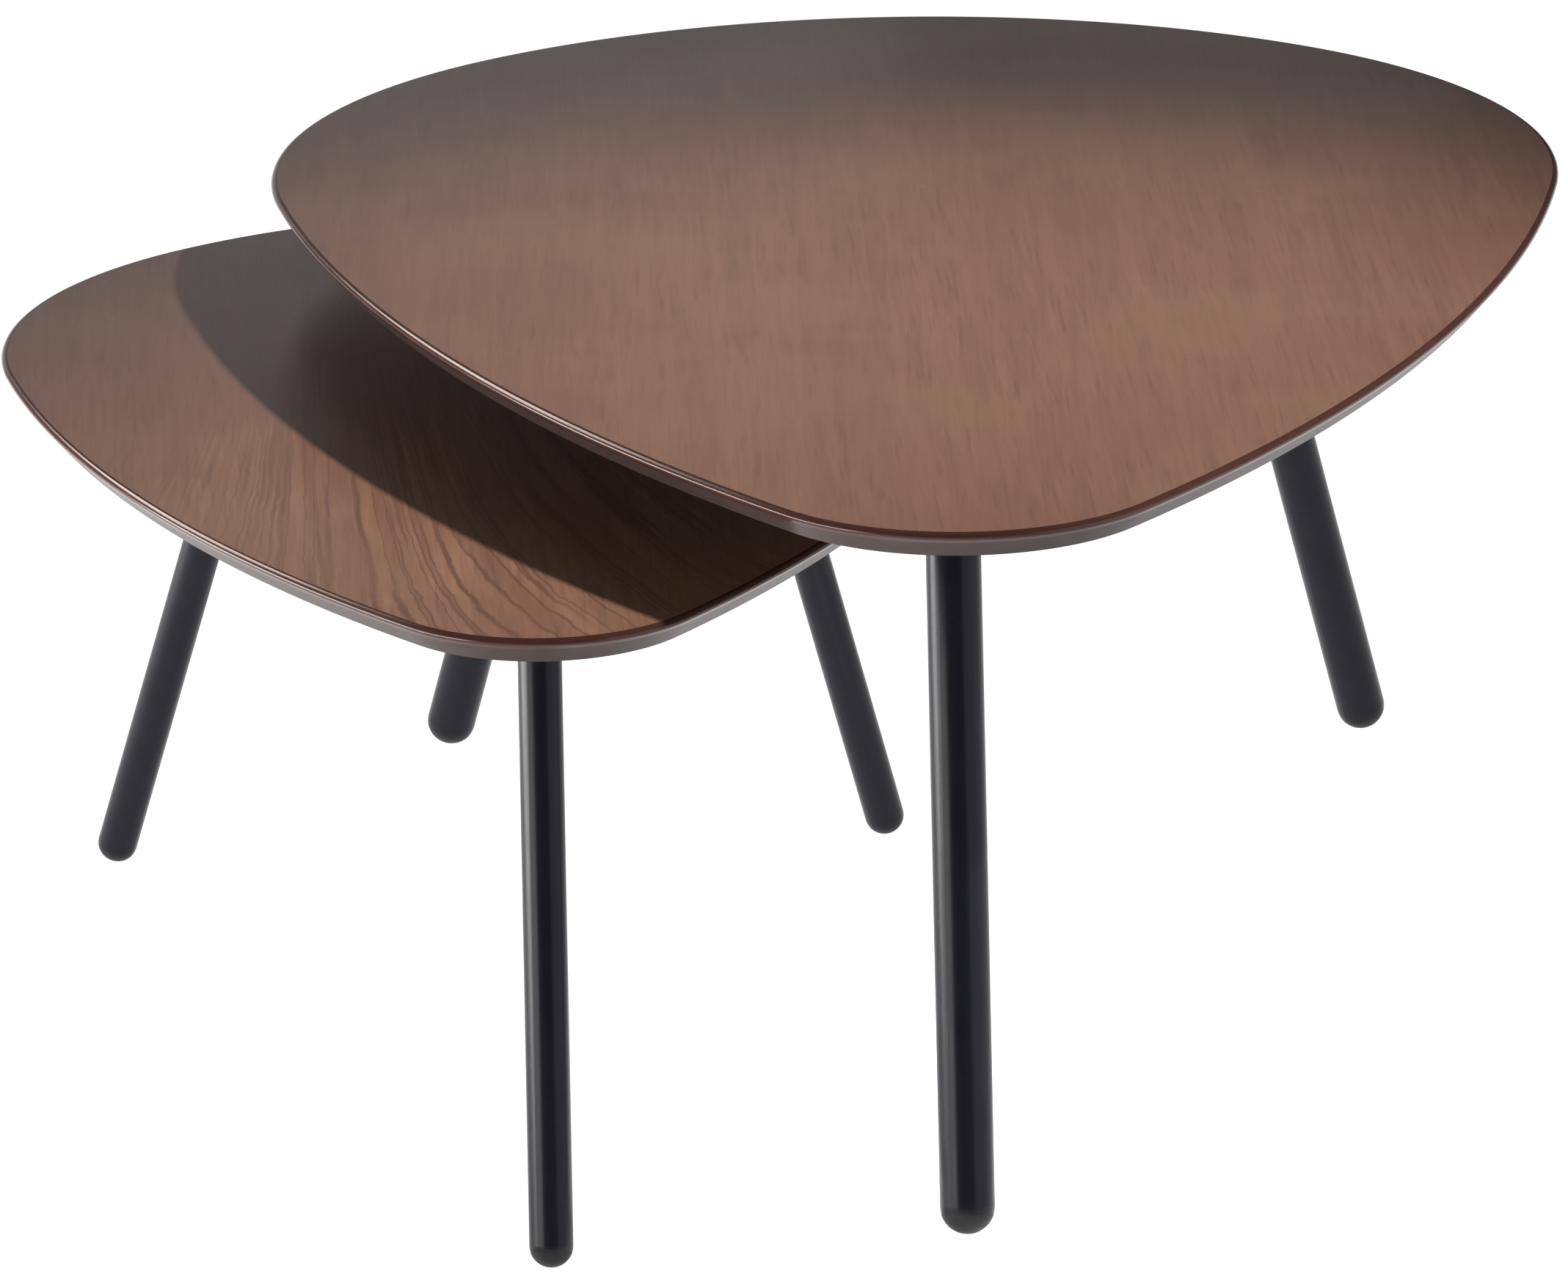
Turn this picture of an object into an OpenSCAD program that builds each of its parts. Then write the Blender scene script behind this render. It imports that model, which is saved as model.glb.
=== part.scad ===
// Two nesting tables. Each has a rounded-triangle top with an undercut rim, carried by three
// splayed round legs, and the smaller table slides in under the larger one.
// Millimetres, +Z up, the pointed end of both tops towards -Y. The origin is on the floor,
// under the centre of the pair's bounding box.

/* [Heights] */
// Height of the large table's upper face above the floor
large_height = 460; // [430:1:500]
// Height of the small table's upper face above the floor
small_height = 400; // [370:1:405]

/* [Outline of the large top] */
// Distance from the centre of the top forward to the centre of its front corner arc
large_front_corner_y = 395; // [385:1:405]
// Half the distance between the centres of the two back corner arcs
large_back_corner_x = 63; // [55:1:70]
// Distance from the centre of the top back to the centres of the back corner arcs
large_back_corner_y = 197.5; // [190:0.5:205]
// Radius of the front corner arc
large_front_radius = 129.5; // [125:0.5:135]
// Radius of the back corner arcs
large_back_radius = 333.5; // [330:0.5:340]
// Radius of the long arcs on the two sides
large_side_radius = 1355; // [1250:5:1450]
// Radius of the arc across the back
large_rear_radius = 435; // [425:1:450]

/* [Outline of the small top] */
// Distance from the centre of the top forward to the centre of its front corner arc
small_front_corner_y = 305; // [300:1:310]
// Half the distance between the centres of the two back corner arcs
small_back_corner_x = 49; // [45:1:52]
// Distance from the centre of the top back to the centres of the back corner arcs
small_back_corner_y = 152.5; // [148:0.5:156]
// Radius of the front corner arc
small_front_radius = 100.5; // [97:0.5:104]
// Radius of the back corner arcs
small_back_radius = 255.5; // [252:0.5:258]
// Radius of the long arcs on the two sides
small_side_radius = 1046; // [1000:1:1090]
// Radius of the arc across the back
small_rear_radius = 337.5; // [330:0.5:345]

/* [Section of a top] */
// Thickness from the veneer's face to the underside
top_t = 16; // [14:0.5:18]
// Radius of the rounded upper edge
arris_r = 3.2; // [2:0.1:5]
// How far the rim slopes in from its widest line down to the underside
undercut = 10.4; // [8:0.1:14]

/* [Legs] */
// Diameter of the large table's leg tubes
large_leg_d = 31.5; // [28:0.5:34]
// Diameter of the small table's leg tubes
small_leg_d = 25; // [22:0.5:27]
// Wall of the leg tubes
tube_wall = 1.5; // [1:0.1:2.5]
// Angle of a leg from the vertical, in degrees
splay = 19.75; // [18:0.25:20.5]

/* [Small table's place] */
// How far the small table stands to the right of the large one's centre line
small_x = -243; // [-500:1:-243]
// How far the small table stands behind the large one's centre
small_y = -107.4; // [-150:0.2:-100]
// How far the small table is turned from the large one, in degrees
small_turn = 2.7; // [0:0.1:4]

/* [Hidden] */
LARGE = 0;
SMALL = 1;
FRONT = 0;
RIGHT = 1;
LEFT = 2;

top_z = [large_height, small_height];
leg_r = [large_leg_d / 2, small_leg_d / 2];

// Head of each leg from the centre of its top, and the heading it splays in, in degrees from +X.
// The legs were set by hand, so each stands a little off a mirrored layout.
leg_head = [
    [[2.7, -243.3], [191.2, 327.4], [-189.4, 327.6]],
    [[1.5, -193.1], [143.7, 254], [-144.1, 263.8]]
];
leg_heading = [
    [-89.5, 43.3, 135.5],
    [-92.4, 43.7, 142.5]
];

// Layers of a top: walnut veneer over a fibreboard core, a backing sheet under it and a solid
// lipping round it.
veneer_t = 0.6;
backer_t = 0.8;
lipping_w = 26;
// Flat strip of lipping between the veneer and the rounded edge.
veneer_margin = 0.3;
// Strip of lipping between the backing sheet and the foot of the undercut.
backer_margin = 2;
// How far the raw lipping reaches inward before the core is cut out of it.
lipping_overlap = 2;
// Hairline joint between one piece of the lipping and the next.
joint_gap = 0.05;
// Straight pieces that each arc of a top's inner layers is drawn with.
arc_steps = 24;

// Mounting plate of a leg: a steel disc under the top, held by three countersunk screws.
plate_t = 4;
plate_over_leg = 28;
plate_chamfer = 1;
screws_per_plate = 3;
screw_circle_over_leg = 17;
screw_head_r = 4;
screw_head_t = 2.4;
screw_shank_r = 2;
screw_l = 15;
screw_slot_l = 4.8;
screw_slot_w = 1;
screw_slot_t = 1.2;

// Foot: a domed cap on the end of the tube, with a plug pressed into the bore.
// The tube ends a little way round the dome, at this angle past the dome's widest line.
foot_joint_angle = 16;
foot_plug_l = 26;
foot_plug_chamfer = 1;

// Small overlap that carries a cut clear through the face it starts on, or joins two shapes.
eps = 0.1;
// A cut larger than any leg is wide.
cut_size = 200;

$fn = 64;
// The rim arcs are up to a metre in radius, so they are drawn finer.
rim_fn = 256;

// ---------------------------------------------------------------------------- outline of a top

// Centre of the arc of radius r that wraps corner circles c1, r1 and c2, r2, which come in
// counter-clockwise order round the top.
function span_centre(c1, r1, c2, r2, r) =
    let (
        gap = norm(c2 - c1),
        along = (c2 - c1) / gap,
        inward = [-along[1], along[0]],
        x = ((r - r1) ^ 2 - (r - r2) ^ 2 + gap ^ 2) / (2 * gap),
        y = sqrt((r - r1) ^ 2 - x ^ 2)
    )
    c1 + along * x + inward * y;

function heading(v) = atan2(v[1], v[0]);
function turned(a, least) = a < least ? a + 360 : a;

// Centres and radii of the corner arcs of each top, then the radii of the arcs between them.
corner = [
    [
        [0, -large_front_corner_y],
        [large_back_corner_x, large_back_corner_y],
        [-large_back_corner_x, large_back_corner_y]
    ],
    [
        [0, -small_front_corner_y],
        [small_back_corner_x, small_back_corner_y],
        [-small_back_corner_x, small_back_corner_y]
    ]
];
corner_r = [
    [large_front_radius, large_back_radius, large_back_radius],
    [small_front_radius, small_back_radius, small_back_radius]
];
span_r = [
    [large_side_radius, large_rear_radius, large_side_radius],
    [small_side_radius, small_rear_radius, small_side_radius]
];
span = [
    for (t = [LARGE, SMALL])
        [
            for (i = [0:2])
                let (j = (i + 1) % 3)
                span_centre(corner[t][i], corner_r[t][i], corner[t][j], corner_r[t][j], span_r[t][i])
        ]
];

// The six arcs of top t, counter-clockwise: [centre, radius, first angle, last angle].
function corner_arc(t, i) =
    let (
        before = (i + 2) % 3,
        first = heading(corner[t][i] - span[t][before]),
        last = heading(corner[t][i] - span[t][i])
    )
    [corner[t][i], corner_r[t][i], first, turned(last, first)];
function span_arc(t, i) =
    let (
        first = heading(corner[t][i] - span[t][i]),
        last = heading(corner[t][(i + 1) % 3] - span[t][i])
    )
    [span[t][i], span_r[t][i], first, turned(last, first)];
arcs = [for (t = [LARGE, SMALL]) [for (i = [0:2]) each [corner_arc(t, i), span_arc(t, i)]]];

// Points of top t's outline, drawn in by inset.
function outline(t, inset) = [
    for (arc = arcs[t])
        for (n = [0:arc_steps - 1])
            let (a = arc[2] + (arc[3] - arc[2]) * n / arc_steps)
            arc[0] + (arc[1] - inset) * [cos(a), sin(a)]
];

function underside(t) = top_z[t] - top_t;

module slab(t, inset, z0, z1) {
    translate([0, 0, z0])
        linear_extrude(z1 - z0)
            polygon(outline(t, inset));
}

// ------------------------------------------------------------------------------- parts of a top

// The radial section of the lipping, for an arc of radius r.
module lipping_section(t, r) {
    z0 = underside(t);
    z1 = top_z[t];
    inner = r - lipping_w - lipping_overlap;
    polygon([
        [inner, z0],
        [r - undercut, z0],
        [r, z1 - arris_r],
        [r - arris_r, z1 - arris_r],
        [r - arris_r, z1],
        [inner, z1]
    ]);
    translate([r - arris_r, z1 - arris_r])
        intersection() {
            circle(arris_r);
            square(arris_r);
        }
}

module core_blank(t) {
    slab(t, lipping_w, underside(t) + backer_t, top_z[t] - veneer_t);
}

module veneer(t) {
    color("peru")
        slab(t, arris_r + veneer_margin, top_z[t] - veneer_t, top_z[t]);
}

// The angle that a joint takes up on an arc of radius r.
function joint_angle(r) = joint_gap / r * 180 / PI;

// The lipping goes round in six pieces, one to each arc.
module lipping(t) {
    color("dimgray")
        difference() {
            for (arc = arcs[t])
                translate(arc[0])
                    rotate([0, 0, arc[2] + joint_angle(arc[1]) / 2])
                        rotate_extrude(angle = arc[3] - arc[2] - joint_angle(arc[1]), $fn = rim_fn)
                            lipping_section(t, arc[1]);
            core_blank(t);
            slab(t, arris_r + veneer_margin, top_z[t] - veneer_t, top_z[t] + eps);
            slab(t, undercut + backer_margin, underside(t) - eps, underside(t) + backer_t);
        }
}

module core(t) {
    color("burlywood")
        difference() {
            core_blank(t);
            for (leg = [FRONT, RIGHT, LEFT])
                screw_shanks(t, leg);
        }
}

module backer(t) {
    color("saddlebrown")
        difference() {
            slab(t, undercut + backer_margin, underside(t), underside(t) + backer_t);
            for (leg = [FRONT, RIGHT, LEFT])
                screw_shanks(t, leg);
        }
}

// ------------------------------------------------------------------------------- parts of a leg

// Length of a leg's axis from the underside of the top to the centre of the foot's dome.
function leg_length(t) = (underside(t) - leg_r[t]) / cos(splay);
function bore_r(t) = leg_r[t] - tube_wall;
// Height of the joint between tube and foot above the dome's centre, and along the whole axis.
function joint_rise(t) = leg_r[t] * sin(foot_joint_angle);
function foot_joint(t) = leg_length(t) + joint_rise(t);

// Moves a piece built along +Z onto the axis of a leg, from the leg's head outward and down.
module on_leg_axis(t, leg) {
    translate([each leg_head[t][leg], underside(t)])
        rotate([0, 180 - splay, leg_heading[t][leg]])
            children();
}

module at_plate(t, leg) {
    translate([each leg_head[t][leg], underside(t)])
        rotate([0, 0, leg_heading[t][leg]])
            children();
}

// Spots of the screws: clear of the tube, which leans over the plate in the leg's heading.
module at_screws(t, leg) {
    at_plate(t, leg)
        for (i = [0:screws_per_plate - 1])
            rotate([0, 0, 180 + i * 360 / screws_per_plate])
                translate([leg_r[t] + screw_circle_over_leg, 0, 0])
                    children();
}

module screw_shanks(t, leg) {
    at_screws(t, leg)
        translate([0, 0, -eps])
            cylinder(h = screw_l - plate_t + eps, r = screw_shank_r);
}

module screw_heads(t, leg) {
    at_screws(t, leg)
        translate([0, 0, -plate_t])
            cylinder(h = screw_head_t, r1 = screw_head_r, r2 = screw_shank_r);
}

module screws(t, leg) {
    color("silver")
        at_screws(t, leg)
            translate([0, 0, -plate_t])
                difference() {
                    union() {
                        cylinder(h = screw_head_t, r1 = screw_head_r, r2 = screw_shank_r);
                        cylinder(h = screw_l, r = screw_shank_r);
                    }
                    for (a = [0, 90])
                        rotate([0, 0, a])
                            translate([-screw_slot_l / 2, -screw_slot_w / 2, -eps])
                                cube([screw_slot_l, screw_slot_w, screw_slot_t + eps]);
                }
}

module plate(t, leg) {
    r = leg_r[t] + plate_over_leg;
    color("black")
        difference() {
            at_plate(t, leg) {
                translate([0, 0, -plate_t])
                    cylinder(h = plate_chamfer, r1 = r - plate_chamfer, r2 = r);
                translate([0, 0, plate_chamfer - plate_t])
                    cylinder(h = plate_t - plate_chamfer, r = r);
            }
            screw_heads(t, leg);
            at_screws(t, leg)
                translate([0, 0, -plate_t])
                    cylinder(h = plate_t + eps, r = screw_shank_r);
        }
}

// Half of the section of a leg's dome between two heights above the dome's centre.
module dome_section(t, z0, z1) {
    intersection() {
        circle(leg_r[t]);
        translate([0, z0])
            square([leg_r[t], z1 - z0]);
    }
}

// A tube starts above its plate and is cut level with the plate's underside. Its far end follows
// the dome of the foot as far as the joint.
module tube(t, leg) {
    start = -leg_r[t];
    color("black")
        difference() {
            on_leg_axis(t, leg) {
                translate([0, 0, start])
                    cylinder(h = leg_length(t) - start, r = leg_r[t]);
                translate([0, 0, leg_length(t)])
                    rotate_extrude()
                        dome_section(t, 0, joint_rise(t));
            }
            on_leg_axis(t, leg)
                translate([0, 0, start - eps])
                    cylinder(h = foot_joint(t) - start + 2 * eps, r = bore_r(t));
            at_plate(t, leg)
                translate([-cut_size / 2, -cut_size / 2, -plate_t])
                    cube(cut_size);
        }
}

module foot(t, leg) {
    plug_r = bore_r(t);
    z0 = foot_joint(t) - foot_plug_l;
    color("black")
        on_leg_axis(t, leg)
            rotate_extrude() {
                polygon([
                    [0, z0],
                    [plug_r - foot_plug_chamfer, z0],
                    [plug_r, z0 + foot_plug_chamfer],
                    [plug_r, foot_joint(t) + eps],
                    [0, foot_joint(t) + eps]
                ]);
                translate([0, leg_length(t)])
                    dome_section(t, joint_rise(t), leg_r[t]);
            }
}

// --------------------------------------------------------------------------- placing the tables

// A foot's centre on the floor, in its table's own frame.
function foot_at(t, leg) =
    leg_head[t][leg]
    + leg_length(t) * sin(splay) * [cos(leg_heading[t][leg]), sin(leg_heading[t][leg])];

function spun(p, a) = [p[0] * cos(a) - p[1] * sin(a), p[0] * sin(a) + p[1] * cos(a)];
turn = [0, small_turn];
offset_of = [[0, 0], [small_x, small_y]];
function placed(t, p) = spun(p, turn[t]) + offset_of[t];

// The reach of both tops and all six feet along an axis, before the pair is centred.
function reach(axis, side) = [
    for (t = [LARGE, SMALL])
        each [
            for (p = outline(t, 0)) side * placed(t, p)[axis],
            for (leg = [FRONT, RIGHT, LEFT]) side * placed(t, foot_at(t, leg))[axis] + leg_r[t]
        ]
];
centre = [for (axis = [0, 1]) (max(reach(axis, 1)) - max(reach(axis, -1))) / 2];

module place(t) {
    translate([each offset_of[t] - centre, 0])
        rotate([0, 0, turn[t]])
            children();
}

// --------------------------------------------------------------------------------------- nodes

module large_core() place(LARGE) core(LARGE);
module large_veneer() place(LARGE) veneer(LARGE);
module large_backer() place(LARGE) backer(LARGE);
module large_lipping() place(LARGE) lipping(LARGE);
module large_plate_front() place(LARGE) plate(LARGE, FRONT);
module large_plate_right() place(LARGE) plate(LARGE, RIGHT);
module large_plate_left() place(LARGE) plate(LARGE, LEFT);
module large_screws_front() place(LARGE) screws(LARGE, FRONT);
module large_screws_right() place(LARGE) screws(LARGE, RIGHT);
module large_screws_left() place(LARGE) screws(LARGE, LEFT);
module large_leg_front() place(LARGE) tube(LARGE, FRONT);
module large_leg_right() place(LARGE) tube(LARGE, RIGHT);
module large_leg_left() place(LARGE) tube(LARGE, LEFT);
module large_foot_front() place(LARGE) foot(LARGE, FRONT);
module large_foot_right() place(LARGE) foot(LARGE, RIGHT);
module large_foot_left() place(LARGE) foot(LARGE, LEFT);

module small_core() place(SMALL) core(SMALL);
module small_veneer() place(SMALL) veneer(SMALL);
module small_backer() place(SMALL) backer(SMALL);
module small_lipping() place(SMALL) lipping(SMALL);
module small_plate_front() place(SMALL) plate(SMALL, FRONT);
module small_plate_right() place(SMALL) plate(SMALL, RIGHT);
module small_plate_left() place(SMALL) plate(SMALL, LEFT);
module small_screws_front() place(SMALL) screws(SMALL, FRONT);
module small_screws_right() place(SMALL) screws(SMALL, RIGHT);
module small_screws_left() place(SMALL) screws(SMALL, LEFT);
module small_leg_front() place(SMALL) tube(SMALL, FRONT);
module small_leg_right() place(SMALL) tube(SMALL, RIGHT);
module small_leg_left() place(SMALL) tube(SMALL, LEFT);
module small_foot_front() place(SMALL) foot(SMALL, FRONT);
module small_foot_right() place(SMALL) foot(SMALL, RIGHT);
module small_foot_left() place(SMALL) foot(SMALL, LEFT);

large_core();
large_veneer();
large_backer();
large_lipping();
large_plate_front();
large_plate_right();
large_plate_left();
large_screws_front();
large_screws_right();
large_screws_left();
large_leg_front();
large_leg_right();
large_leg_left();
large_foot_front();
large_foot_right();
large_foot_left();
small_core();
small_veneer();
small_backer();
small_lipping();
small_plate_front();
small_plate_right();
small_plate_left();
small_screws_front();
small_screws_right();
small_screws_left();
small_leg_front();
small_leg_right();
small_leg_left();
small_foot_front();
small_foot_right();
small_foot_left();
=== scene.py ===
import math

import bmesh
import bpy
from mathutils import Matrix, Vector


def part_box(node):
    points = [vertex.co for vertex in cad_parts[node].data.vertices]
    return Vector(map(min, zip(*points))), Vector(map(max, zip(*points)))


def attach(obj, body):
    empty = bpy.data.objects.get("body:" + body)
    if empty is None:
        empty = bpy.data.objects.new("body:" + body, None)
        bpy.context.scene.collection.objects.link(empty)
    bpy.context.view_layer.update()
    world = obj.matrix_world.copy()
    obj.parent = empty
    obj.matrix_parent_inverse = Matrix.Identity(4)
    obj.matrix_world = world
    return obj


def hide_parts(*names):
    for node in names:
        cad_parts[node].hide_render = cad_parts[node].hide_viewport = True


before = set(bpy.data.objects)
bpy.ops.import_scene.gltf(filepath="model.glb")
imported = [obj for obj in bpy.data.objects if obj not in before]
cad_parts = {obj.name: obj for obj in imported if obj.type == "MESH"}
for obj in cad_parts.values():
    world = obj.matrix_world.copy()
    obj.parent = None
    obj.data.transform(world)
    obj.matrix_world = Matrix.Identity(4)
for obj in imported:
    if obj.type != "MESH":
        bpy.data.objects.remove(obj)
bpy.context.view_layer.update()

SIDES = ("front", "right", "left")
# How far each table is turned about Z, which is also how far its grain is turned.
TABLE_TURN = {"large": 0.0, "small": math.radians(2.7)}

# The outline of each top: how far forward the front corner's centre lies, how far out and back
# those of the back corners, then the radii of the front and back corners, sides and rear.
OUTLINE = {
    "large": (0.395, 0.063, 0.1975, 0.1295, 0.3335, 1.355, 0.435),
    "small": (0.305, 0.049, 0.1525, 0.1005, 0.2555, 1.046, 0.3375),
}
# The longest step round the outline of a drawn rim.
RIM_STEP = 0.005
# Insets from the outline: the hidden inner face of the lipping, the rebates cut in it for the
# backer and the veneer, and the start of the undercut.
LIPPING_INSET = 0.026
BACKER_INSET, BACKER_T = 0.0124, 0.0008
VENEER_INSET, VENEER_T = 0.0035, 0.0006
UNDERCUT_INSET = 0.0110
# The rounded upper edge, and how far its painted shade (a darker, redder colour than the slope's)
# runs down onto the slope.
ARRIS_R = 0.0032
ARRIS_STEPS = 8
ARRIS_SHADE_BELOW = 0.0018
SHARP_ANGLE = math.radians(32)

LEG_R = {"large": 0.01575, "small": 0.0125}
SPLAY = math.radians(19.75)
# Heading of each leg from its table's +X, in degrees.
LEG_HEADING = {
    "large": {"front": -89.5, "right": 43.3, "left": 135.5},
    "small": {"front": -92.4, "right": 43.7, "left": 142.5},
}
WELD_R = 0.0021
WELD_RIPPLES = 40
# The thinnest part of each ripple, next to the thickest.
WELD_THINNEST = 0.86

# Camera: where it stands, the way it looks, and its focal length in widths of the picture.
CAMERA_AT = Vector((-0.1094, -4.6951, 1.8503))
CAMERA_HEADING = math.radians(1.2315)
CAMERA_PITCH = math.radians(19.188)
CAMERA_ROLL = math.radians(-0.632)
CAMERA_FOCAL = 5.2352


# ------------------------------------------------------------------------------ node helpers

class Nodes:
    """A short way to add shader nodes to a material and link them."""

    def __init__(self, name):
        self.material = bpy.data.materials.new(name)
        self.material.use_nodes = True
        self.tree = self.material.node_tree
        self.shader = self.tree.nodes["Principled BSDF"]

    def add(self, kind, inputs=None, **settings):
        node = self.tree.nodes.new(kind)
        for key, value in settings.items():
            setattr(node, key, value)
        for key, value in (inputs or {}).items():
            self.put(node.inputs[key], value)
        return node

    def put(self, socket, value):
        if isinstance(value, bpy.types.NodeSocket):
            self.tree.links.new(value, socket)
        else:
            socket.default_value = value

    def math(self, operation, a, b=0.0):
        return self.add("ShaderNodeMath", {0: a, 1: b}, operation=operation).outputs[0]

    def vector_math(self, operation, a, b, output="Vector"):
        node = self.add("ShaderNodeVectorMath", {0: a, 1: b}, operation=operation)
        return node.outputs[output]

    def mapping(self, vector, scale=(1, 1, 1), rotation=(0, 0, 0), location=(0, 0, 0)):
        node = self.add("ShaderNodeMapping", {
            "Vector": vector, "Scale": scale, "Rotation": rotation, "Location": location})
        return node.outputs[0]

    def noise(self, vector, scale, detail, roughness):
        node = self.add("ShaderNodeTexNoise", {
            "Vector": vector, "Scale": scale, "Detail": detail, "Roughness": roughness})
        return node.outputs["Fac"]

    def drawn_noise(self, vector, scale, detail, roughness, location=(0, 0, 0)):
        """Noise with a scale of its own along each axis, for fibres and streaks."""
        return self.noise(self.mapping(vector, scale, location=location), 1.0, detail, roughness)

    def span(self, value, low, high, to_low=0.0, to_high=1.0):
        node = self.add("ShaderNodeMapRange", {
            "Value": value, "From Min": low, "From Max": high, "To Min": to_low,
            "To Max": to_high})
        return node.outputs[0]

    def mix(self, factor, a, b):
        """From colour a to colour b; sockets 6, 7 and 2 are the ones that carry colours."""
        node = self.add("ShaderNodeMix", {"Factor": factor}, data_type="RGBA")
        self.put(node.inputs[6], a)
        self.put(node.inputs[7], b)
        return node.outputs[2]

    def bump(self, height, strength, distance):
        node = self.add("ShaderNodeBump", {
            "Height": height, "Strength": strength, "Distance": distance})
        return node.outputs[0]

    def object_coordinates(self):
        return self.add("ShaderNodeTexCoord").outputs["Object"]

    def finish(self, inputs):
        """Set the shader's own inputs, and return the finished material."""
        for key, value in inputs.items():
            self.put(self.shader.inputs[key], value)
        return self.material


def rgba(r, g, b):
    return (r, g, b, 1)


# ------------------------------------------------------------------------------ materials

VENEER_LIGHT = rgba(0.203, 0.098, 0.065)
VENEER_DARK = rgba(0.100, 0.046, 0.033)
VENEER_RED = rgba(0.178, 0.079, 0.055)
VENEER_GOLD = rgba(0.215, 0.116, 0.068)
# Paler wood, partly painted light: the light on the front of the small top and the warm bounce in
# its shadow.
VENEER_PALE_AND_PAINTED_LIGHT = rgba(0.345, 0.180, 0.110)
VENEER_PORE = rgba(0.060, 0.027, 0.018)
# The growth rings are cut lengthwise and fan out towards the front: the spot on each top where
# they run straight, in metres, and how fast they close up behind it, per metre.
VENEER_HEART = {"large": (0.05, -0.50), "small": (-0.275, -0.50)}
RING_FAN = {"large": 0.5, "small": 3.2}
RINGS_PER_METRE = 85.0
# How far a slow drift and a quick waver pull the rings sideways, in metres.
RING_DRIFT, RING_WAVER = 0.045, 0.012
# Where the figure is boldest, and how bold it is: the large sheet is plainer than the small one.
# Round the same spot the wood is painted paler, partly as painted light.
VENEER_FIGURE = {"large": (0.00, -0.25), "small": (-0.21, -0.34)}
RING_CONTRAST = {"large": 0.12, "small": 0.8}
# The bold part is drawn out along the grain: distances that way count for this much.
FIGURE_STRETCH = 0.6


def ring_pattern(n, board, heart, fan):
    """Growth rings in a fan of uneven lines: their soft noise, and the late wood along them."""
    drift = n.drawn_noise(board, (9.0, 1.6, 1), 2.0, 0.5)
    waver = n.drawn_noise(board, (50.0, 22.0, 1), 3.0, 0.65)
    spot = n.add("ShaderNodeSeparateXYZ", {
        0: n.mapping(board, location=(-heart[0], -heart[1], 0))})
    spread = n.math("ADD", n.math("MULTIPLY", spot.outputs["Y"], fan), 1.0)
    across = n.math("MULTIPLY", spot.outputs["X"], spread)
    pulled = n.math("ADD", n.math("MULTIPLY", drift, RING_DRIFT),
                    n.math("MULTIPLY", waver, RING_WAVER))
    depth = n.math("MULTIPLY", n.math("ADD", across, pulled), RINGS_PER_METRE)
    # Along the grain a ring changes only slowly.
    along = n.mapping(board, scale=(0, 1.2, 0), location=(0, 5.0, 0))
    ring_place = n.add("ShaderNodeCombineXYZ", {"X": depth}).outputs[0]
    year = n.noise(n.vector_math("ADD", ring_place, along), 1.0, 1.0, 0.5)
    late = n.span(n.math("ABSOLUTE", n.math("SUBTRACT", year, 0.5)), 0.0, 0.07, 1.0, 0.0)
    return year, late


def veneer(name, turn, heart, fan, figure, contrast):
    """Brown-stained walnut veneer under a satin lacquer, its grain running front to back."""
    n = Nodes(name)
    board = n.mapping(n.object_coordinates(), rotation=(0, 0, -turn))

    # The rings fade out away from the middle of the figure.
    year, late = ring_pattern(n, board, heart, fan)
    away = n.vector_math("DISTANCE", n.mapping(board, scale=(1, FIGURE_STRETCH, 0)),
                         (figure[0], FIGURE_STRETCH * figure[1], 0), "Value")
    bold = n.span(away, 0.10, 0.24, 1.0, 0.12)
    ring = n.math("MULTIPLY", n.math("MAXIMUM", late, n.span(year, 0.35, 0.65, 0.0, 0.35)), bold)

    # Fibres and open pores: fine streaks drawn out along the grain.
    fibre = n.drawn_noise(board, (340.0, 14.0, 1), 1.0, 0.5)
    streak = n.drawn_noise(board, (70.0, 4.0, 1), 4.0, 0.65)
    pore = n.span(n.drawn_noise(board, (520.0, 26.0, 1), 0.0, 0.5), 0.6, 0.75)

    # The stain takes unevenly, in soft patches a hand wide and in smaller ones.
    patch = n.noise(board, 6.0, 3.0, 0.55)
    cloud = n.drawn_noise(board, (30.0, 10.0, 1), 1.0, 0.5, location=(3.1, 1.7, 0.4))

    # Paler wood round the middle of the figure: partly the wood's own tone, partly painted light,
    # a pool of light on the front of the small top and the warm bounce in its shadow.
    base = n.mix(n.math("MULTIPLY", bold, contrast), VENEER_LIGHT, VENEER_PALE_AND_PAINTED_LIGHT)
    for amount, colour in (
            (n.math("MULTIPLY", ring, contrast), VENEER_DARK),
            (n.span(fibre, 0.35, 0.7, 0.0, 0.25), VENEER_DARK),
            (n.span(streak, 0.4, 0.7, 0.0, 0.35), VENEER_DARK),
            (n.math("MULTIPLY", pore, 0.2), VENEER_PORE),
            (n.span(patch, 0.5, 0.7, 0.0, 0.5), VENEER_RED),
            (n.span(patch, 0.5, 0.35, 0.0, 0.5), VENEER_GOLD),
            (n.span(cloud, 0.5, 0.75, 0.0, 0.35), VENEER_LIGHT)):
        base = n.mix(amount, base, colour)

    return n.finish({
        "Base Color": base,
        "Roughness": n.span(patch, 0.3, 0.7, 0.26, 0.30),
        "IOR": 1.48,
        "Normal": n.bump(streak, 0.02, -0.0001)})


def lacquered_edge(name, dark, light, flecks, roughness, ior):
    """Stained and lacquered lipping: satin, with the faint pull of a brush along it."""
    n = Nodes(name)
    place = n.object_coordinates()
    cloud = n.noise(place, 14.0, 3.0, 0.6)
    fibre = n.drawn_noise(place, (60.0, 60.0, 700.0), 2.0, 0.5)
    base = n.mix(cloud, dark, light)
    return n.finish({
        "Base Color": n.mix(n.span(fibre, 0.4, 0.7, 0.0, 0.3), base, flecks),
        "Roughness": n.span(cloud, 0.3, 0.7, roughness, roughness + 0.06),
        "IOR": ior,
        "Normal": n.bump(n.noise(place, 90.0, 2.0, 0.5), 0.03, 0.0003)})


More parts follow.
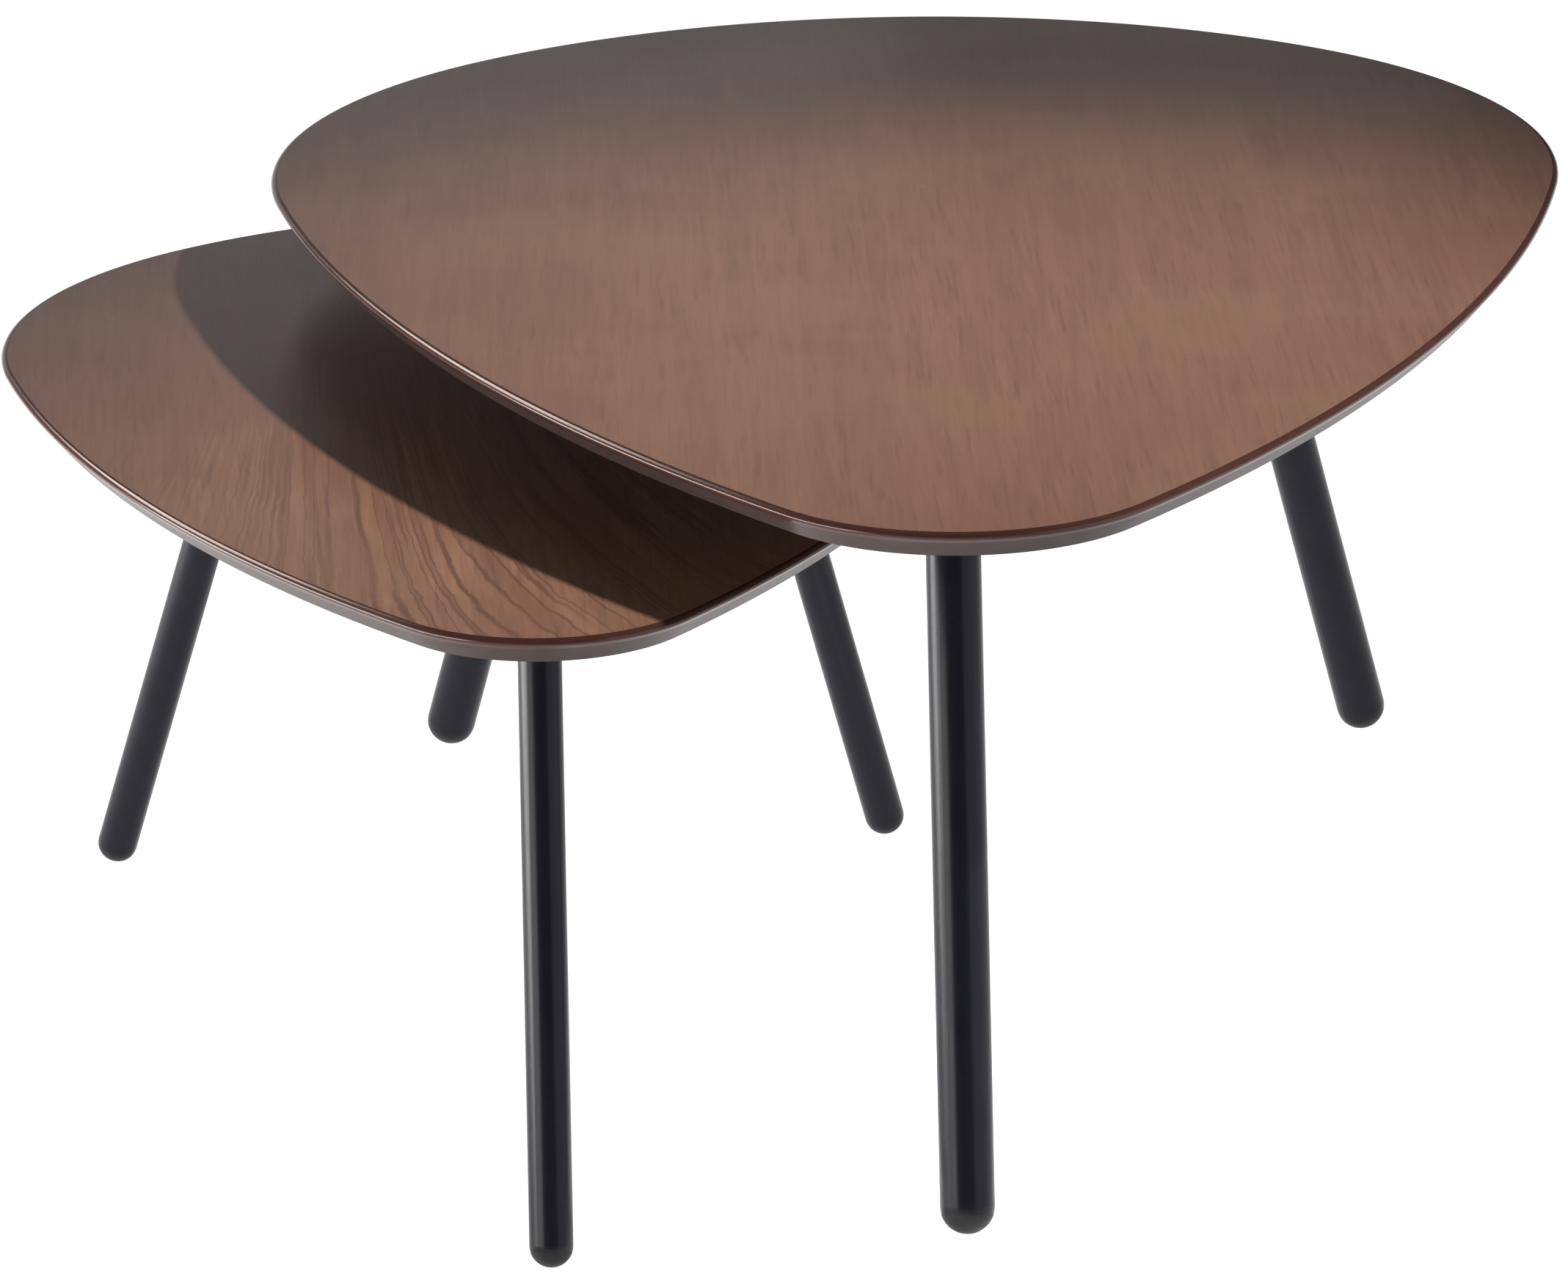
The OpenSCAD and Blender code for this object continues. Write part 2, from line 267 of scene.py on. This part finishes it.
def black_paint():
    """Satin black powder coat: a fine orange peel, and a black that isn't quite even."""
    n = Nodes("black_steel_finish")
    place = n.object_coordinates()
    peel = n.noise(place, 900.0, 2.0, 0.5)
    cloud = n.noise(place, 30.0, 3.0, 0.6)
    return n.finish({
        "Base Color": n.mix(cloud, rgba(0.0085, 0.0085, 0.0135), rgba(0.0112, 0.0112, 0.0178)),
        "Roughness": n.span(cloud, 0.3, 0.7, 0.23, 0.29),
        "IOR": 1.28,
        "Normal": n.bump(peel, 0.06, 0.0002)})


def foot_plastic():
    """Moulded black plastic: duller and less blue than the paint, and lightly scuffed."""
    n = Nodes("foot_plastic_finish")
    place = n.object_coordinates()
    grain = n.noise(place, 1400.0, 2.0, 0.5)
    scuff = n.noise(place, 160.0, 4.0, 0.7)
    return n.finish({
        "Base Color": n.mix(n.span(scuff, 0.5, 0.75),
                            rgba(0.009, 0.009, 0.011), rgba(0.016, 0.016, 0.018)),
        "Roughness": n.span(scuff, 0.3, 0.8, 0.42, 0.58),
        "IOR": 1.33,
        "Normal": n.bump(grain, 0.2, 0.0001)})


def fibreboard():
    """Pressed wood fibre, seen only in the screw holes."""
    n = Nodes("fibreboard_finish")
    fleck = n.noise(n.object_coordinates(), 700.0, 4.0, 0.7)
    return n.finish({
        "Base Color": n.mix(fleck, rgba(0.20, 0.12, 0.065), rgba(0.36, 0.24, 0.14)),
        "Roughness": 0.85,
        "Normal": n.bump(fleck, 0.3, 0.0003)})


def backing_sheet(name, turn):
    """Plain sealed veneer under the top: matt and darker, with a quiet straight grain."""
    n = Nodes(name)
    board = n.mapping(n.object_coordinates(), rotation=(0, 0, -turn))
    streak = n.drawn_noise(board, (90.0, 3.0, 1), 4.0, 0.6)
    fibre = n.drawn_noise(board, (700.0, 20.0, 1), 2.0, 0.5)
    base = n.mix(streak, rgba(0.026, 0.016, 0.011), rgba(0.048, 0.029, 0.020))
    return n.finish({
        "Base Color": n.mix(n.span(fibre, 0.5, 0.75, 0.0, 0.5), base, rgba(0.018, 0.010, 0.007)),
        "Roughness": n.span(fibre, 0.3, 0.7, 0.55, 0.7),
        "Normal": n.bump(fibre, 0.25, 0.0003)})


def zinc():
    """Bright zinc plate on the screws."""
    n = Nodes("zinc_screws_finish")
    cloud = n.noise(n.object_coordinates(), 500.0, 3.0, 0.6)
    return n.finish({
        "Base Color": n.mix(cloud, rgba(0.42, 0.43, 0.44), rgba(0.60, 0.60, 0.58)),
        "Metallic": 1.0,
        "Roughness": n.span(cloud, 0.3, 0.7, 0.28, 0.42)})


def dress(node, material):
    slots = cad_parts[node].data.materials
    slots.clear()
    slots.append(material)


def dress_tables():
    """Give every piece its material, and add the smooth rims and the welds."""
    # The lipping is glossier on its rounded edge than on the slope below it, and painted darker
    # and redder there: painted shade for the dark that the edge mirrors.
    rim = lacquered_edge("rim_slope", rgba(0.036, 0.025, 0.023), rgba(0.048, 0.034, 0.031),
                         rgba(0.028, 0.017, 0.015), 0.26, 1.2)
    arris = lacquered_edge("rim_arris_shaded", rgba(0.042, 0.017, 0.013), rgba(0.058, 0.025, 0.019),
                           rgba(0.026, 0.011, 0.009), 0.17, 1.34)
    paint, plastic, board, plated = black_paint(), foot_plastic(), fibreboard(), zinc()
    rims, welds = [], []
    for table, turn in TABLE_TURN.items():
        dress(table + "_veneer", veneer(
            table + "_walnut", turn, VENEER_HEART[table], RING_FAN[table],
            VENEER_FIGURE[table], RING_CONTRAST[table]))
        dress(table + "_backer", backing_sheet(table + "_backing", turn))
        dress(table + "_core", board)
        dress(table + "_lipping", rim)
        rims.append(add_rim(table, rim, arris))
        for side in SIDES:
            welds.append(add_weld(table, side, paint))
            dress(f"{table}_plate_{side}", paint)
            dress(f"{table}_leg_{side}", paint)
            dress(f"{table}_foot_{side}", plastic)
            dress(f"{table}_screws_{side}", plated)
    return rims, welds


# ------------------------------------------------------------------------------ pieces

def smooth_mesh(name, rings):
    """A surface through rings of points that closes both ways, with its sharp edges kept."""
    count, size = len(rings), len(rings[0])
    vertices = [point for ring in rings for point in ring]
    faces = []
    for i in range(count):
        j = (i + 1) % count
        for k in range(size):
            m = (k + 1) % size
            faces.append((i * size + k, j * size + k, j * size + m, i * size + m))
    mesh = bpy.data.meshes.new(name)
    mesh.from_pydata(vertices, [], faces)
    work = bmesh.new()
    work.from_mesh(mesh)
    bmesh.ops.recalc_face_normals(work, faces=work.faces)
    work.to_mesh(mesh)
    work.free()
    mesh.shade_smooth()
    mesh.set_sharp_from_angle(angle=SHARP_ANGLE)
    piece = bpy.data.objects.new(name, mesh)
    bpy.context.scene.collection.objects.link(piece)
    return piece


def outline_arcs(front_y, back_x, back_y, front_r, back_r, side_r, rear_r):
    """The six arcs round a top, counter-clockwise: (centre, radius, first angle, last angle)."""
    corners = [(Vector((0, -front_y)), front_r), (Vector((back_x, back_y)), back_r),
               (Vector((-back_x, back_y)), back_r)]
    spans = []
    for i, radius in enumerate((side_r, rear_r, side_r)):
        (c1, r1), (c2, r2) = corners[i], corners[(i + 1) % 3]
        gap = (c2 - c1).length
        along = (c2 - c1) / gap
        inward = Vector((-along.y, along.x))
        x = ((radius - r1) ** 2 - (radius - r2) ** 2 + gap ** 2) / (2 * gap)
        y = math.sqrt((radius - r1) ** 2 - x ** 2)
        spans.append((c1 + along * x + inward * y, radius))

    arcs = []
    for i in range(3):
        corner, before, after = corners[i], spans[i - 1], spans[i]
        following = corners[(i + 1) % 3]
        for hub, start, end in ((corner, corner[0] - before[0], corner[0] - after[0]),
                                (after, corner[0] - after[0], following[0] - after[0])):
            first = math.atan2(start.y, start.x)
            last = math.atan2(end.y, end.x)
            arcs.append((*hub, first, last if last > first else last + 2 * math.pi))
    return arcs


def rim_section(thickness):
    """The section of the lipping, as (inset from the outline, height above the underside)."""
    widest_z = thickness - ARRIS_R
    # The slope, from the foot of the undercut nearly to the widest line. Both ends of it are
    # eased by a few tenths of a millimetre.
    foot_inset, foot_z = 0.0101, 0.0006
    head_inset, head_z = 0.0007, widest_z - 0.0009
    # The share of the slope that takes the arris material's painted shade.
    stained = ARRIS_SHADE_BELOW / (head_z - foot_z)
    section = [
        (LIPPING_INSET, BACKER_T), (BACKER_INSET, BACKER_T), (BACKER_INSET, 0.0),
        (UNDERCUT_INSET, 0.0), (UNDERCUT_INSET - 0.0006, 0.0002), (foot_inset, foot_z),
        (head_inset + (foot_inset - head_inset) * stained, head_z - ARRIS_SHADE_BELOW),
        (head_inset, head_z), (0.0002, widest_z - 0.0003)]
    for step in range(1, ARRIS_STEPS + 1):
        a = math.pi / 2 * step / ARRIS_STEPS
        section.append((ARRIS_R * (1 - math.cos(a)), widest_z + ARRIS_R * math.sin(a)))
    section += [(VENEER_INSET, thickness), (VENEER_INSET, thickness - VENEER_T),
                (LIPPING_INSET, thickness - VENEER_T)]
    return section


def add_rim(table, slope, arris):
    """The lipping in one smooth sweep along the outline, where the CAD lipping stands."""
    low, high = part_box(table + "_lipping")
    section = rim_section(high.z - low.z)
    turn = Matrix.Rotation(TABLE_TURN[table], 2)
    rings, edge = [], []
    for centre, radius, first, last in outline_arcs(*OUTLINE[table]):
        steps = math.ceil(radius * (last - first) / RIM_STEP)
        for i in range(steps):
            a = first + (last - first) * i / steps
            out = Vector((math.cos(a), math.sin(a)))
            edge.append(turn @ (centre + radius * out))
            rings.append([(turn @ (centre + (radius - inset) * out), z) for inset, z in section])
    # The outline is drawn round its own origin, so the rings move to where the CAD lipping is.
    shift = Vector([
        (low[axis] + high[axis] - min(p[axis] for p in edge) - max(p[axis] for p in edge)) / 2
        for axis in (0, 1)])
    rings = [[(p.x + shift.x, p.y + shift.y, low.z + z) for p, z in ring] for ring in rings]
    piece = smooth_mesh(table + "_rim", rings)
    piece.data.materials.append(slope)
    piece.data.materials.append(arris)
    # The faces of the rounded edge, and a strip of slope below it, take the arris material with
    # its painted shade.
    shaded_arris_slot = 1
    for face in piece.data.polygons:
        if face.center.z > high.z - ARRIS_R - ARRIS_SHADE_BELOW:
            face.material_index = shaded_arris_slot
    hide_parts(table + "_lipping")
    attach(piece, table + "_table")
    return piece


def add_weld(table, side, material):
    """A rippled bead of weld where a leg's tube meets the underside of its plate."""
    low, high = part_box(f"{table}_plate_{side}")
    head = Vector(((low.x + high.x) / 2, (low.y + high.y) / 2, high.z))
    heading = math.radians(LEG_HEADING[table][side]) + TABLE_TURN[table]
    lean = Vector((math.cos(heading), math.sin(heading), 0))
    axis = math.sin(SPLAY) * lean - math.cos(SPLAY) * Vector((0, 0, 1))
    across = Vector((-lean.y, lean.x, 0))
    upward = axis.cross(across)
    per_ripple, corners = 5, 10
    rings = []
    for i in range(WELD_RIPPLES * per_ripple):
        a = 2 * math.pi * i / (WELD_RIPPLES * per_ripple)
        normal = math.cos(a) * across + math.sin(a) * upward
        start = head + LEG_R[table] * normal
        contact = start + axis * ((low.z - start.z) / axis.z)
        outward = Vector((normal.x, normal.y, 0)).normalized()
        swell = (i % per_ripple) / (per_ripple - 1)
        bead_r = WELD_R * (WELD_THINNEST + (1 - WELD_THINNEST) * swell)
        # The bead lies in the corner, mostly sunk into the tube and the plate.
        middle = contact + 0.3 * bead_r * outward - Vector((0, 0, 0.2 * bead_r))
        rings.append([
            middle + bead_r * (math.cos(b) * outward + math.sin(b) * Vector((0, 0, 1)))
            for b in (2 * math.pi * k / corners for k in range(corners))])
    piece = smooth_mesh(f"{table}_weld_{side}", rings)
    piece.data.materials.append(material)
    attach(piece, table + "_table")
    return piece


# ------------------------------------------------------------------------------ lights and camera

MIDDLE = (0.0, 0.0, 0.4)
LEFT_EDGES = (-0.2, -0.2, 0.4)
# The softboxes: where each stands, what it faces, its width and height, radiance and colour.
CARDS = {
    # Low on the left, for the streak down each leg and the light on the sloping rims.
    "left_card": ((-2.5, 0.0, 0.36), (0.0, 0.0, 0.36), (2.0, 0.7), 16.0, (1.0, 1.0, 1.0)),
    "left_front_card": ((-2.0, -1.7, 0.5), (0.0, -0.3, 0.3), (1.1, 0.8), 5.6, (1.0, 0.95, 0.91)),
    "right_card": ((2.6, -1.4, 1.0), MIDDLE, (3.6, 1.8), 1.05, (0.93, 0.96, 1.0)),
    # Behind the tables, for the pale sheen that the tops take towards their far edges.
    "back_card": ((-1.4, 5.0, 1.1), MIDDLE, (3.5, 1.6), 0.62, (1.0, 0.97, 0.97)),
    "back_right_card": ((0.65, 5.0, 0.9), MIDDLE, (0.6, 1.2), 0.62, (1.0, 0.97, 0.97)),
    # For the rims alone: a little more light on their slopes, and the glint along the left edges.
    "edge_card": ((-2.0, -1.3, 0.25), LEFT_EDGES, (1.2, 0.5), 16.0, (1.0, 0.93, 0.87)),
    "glint_card": ((-1.75, 1.45, 1.8), LEFT_EDGES, (1.3, 0.9), 12.5, (1.0, 0.84, 0.77)),
}

# The key light is a spot: the middle of its pool, the way from there to the lamp, and how far.
POOL = Vector((0.09, -0.24, 0.46))
TOWARD_KEY = Vector((0.678, 0.163, 0.716))
KEY_DISTANCE = 4.5
KEY_WATTS = 1520
KEY_BEAM = math.radians(18.0)
KEY_RADIUS = 0.12

FLOOR_REACH = 30.0
FLOOR_GLOW = 0.9
WORLD_LIGHT = 0.08


def add_lamp(name, kind, colour):
    data = bpy.data.lights.new(name, kind)
    data.color = colour
    lamp = bpy.data.objects.new(name, data)
    bpy.context.scene.collection.objects.link(lamp)
    return lamp


def card(name, suffix=""):
    """One of the softboxes, as a flat lamp. A suffix names a second lamp in the same place."""
    at, aim, (width, height), radiance, colour = CARDS[name]
    lamp = add_lamp(name + suffix, "AREA", colour)
    lamp.data.shape = "RECTANGLE"
    lamp.data.size = width
    lamp.data.size_y = height
    lamp.data.energy = radiance * width * height * math.pi
    lamp.location = at
    lamp.rotation_euler = (Vector(aim) - Vector(at)).to_track_quat("-Z", "Y").to_euler()
    return lamp


def shine_only_on(lamp, pieces):
    """Flag a lamp off everything but these pieces."""
    group = bpy.data.collections.new(lamp.name + "_reach")
    for piece in pieces:
        group.objects.link(piece)
    lamp.light_linking.receiver_collection = group


def unmirrored_card(name, polished, others):
    """A softbox that lights everything, but isn't mirrored in the polished pieces."""
    shine_only_on(card(name), others)
    fill = card(name, "_fill")
    fill.visible_glossy = False
    shine_only_on(fill, polished)


def key_light():
    """A spot from the right and a little behind: its soft pool covers the front of the tops."""
    lamp = add_lamp("key", "SPOT", (1.0, 0.985, 0.965))
    lamp.data.energy = KEY_WATTS
    lamp.data.spot_size = KEY_BEAM
    lamp.data.spot_blend = 1.0
    lamp.data.shadow_soft_size = KEY_RADIUS
    lamp.location = POOL + KEY_DISTANCE * TOWARD_KEY
    lamp.rotation_euler = (-TOWARD_KEY).to_track_quat("-Z", "Y").to_euler()
    # The beam is flattened so that the pool comes out round on the slanting top.
    lamp.scale = (1.0, TOWARD_KEY.z, 1.0)
    # Its own glint is kept off the lacquer, as a polarising filter would.
    lamp.visible_glossy = False


def floor():
    """A light table: it glows enough to wash out the shadows that fall on it."""
    corners = [(-1, -1), (1, -1), (1, 1), (-1, 1)]
    mesh = bpy.data.meshes.new("floor")
    mesh.from_pydata([(FLOOR_REACH * x, FLOOR_REACH * y, 0) for x, y in corners],
                     [], [(0, 1, 2, 3)])
    plane = bpy.data.objects.new("floor", mesh)
    bpy.context.scene.collection.objects.link(plane)
    mesh.materials.append(Nodes("studio_floor").finish({
        "Base Color": rgba(0.8, 0.8, 0.8),
        "Roughness": 0.9,
        "Specular IOR Level": 0.0,
        "Emission Color": rgba(1, 1, 1),
        "Emission Strength": FLOOR_GLOW}))
    return plane


def studio(rims, welds):
    ground = floor()
    key_light()
    # The tops would mirror both left cards in a view from the right.
    tops = [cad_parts[table + "_veneer"] for table in TABLE_TURN]
    others = [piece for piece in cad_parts.values() if piece not in tops]
    others += rims + welds + [ground]
    for name in ("left_card", "left_front_card"):
        unmirrored_card(name, tops, others)
    for name in ("right_card", "back_card", "back_right_card"):
        card(name)
    shine_only_on(card("edge_card"), rims)
    glint = card("glint_card")
    glint.visible_diffuse = False
    shine_only_on(glint, rims)
    world = bpy.data.worlds.new("studio")
    world.use_nodes = True
    background = world.node_tree.nodes["Background"]
    background.inputs["Color"].default_value = rgba(1.0, 0.95, 0.91)
    background.inputs["Strength"].default_value = WORLD_LIGHT
    bpy.context.scene.world = world
    view = bpy.context.scene.view_settings
    view.view_transform = "Standard"
    view.look = "None"


def camera():
    data = bpy.data.cameras.new("camera")
    data.sensor_fit = "HORIZONTAL"
    data.sensor_width = 36.0
    data.lens = CAMERA_FOCAL * data.sensor_width
    data.clip_end = 100.0
    eye = bpy.data.objects.new("camera", data)
    turn = Matrix.Rotation(-CAMERA_HEADING, 4, "Z")
    tilt = Matrix.Rotation(math.pi / 2 - CAMERA_PITCH, 4, "X")
    roll = Matrix.Rotation(CAMERA_ROLL, 4, "Z")
    eye.matrix_world = Matrix.Translation(CAMERA_AT) @ turn @ tilt @ roll
    bpy.context.scene.collection.objects.link(eye)
    bpy.context.scene.camera = eye


camera()
rims, welds = dress_tables()
studio(rims, welds)
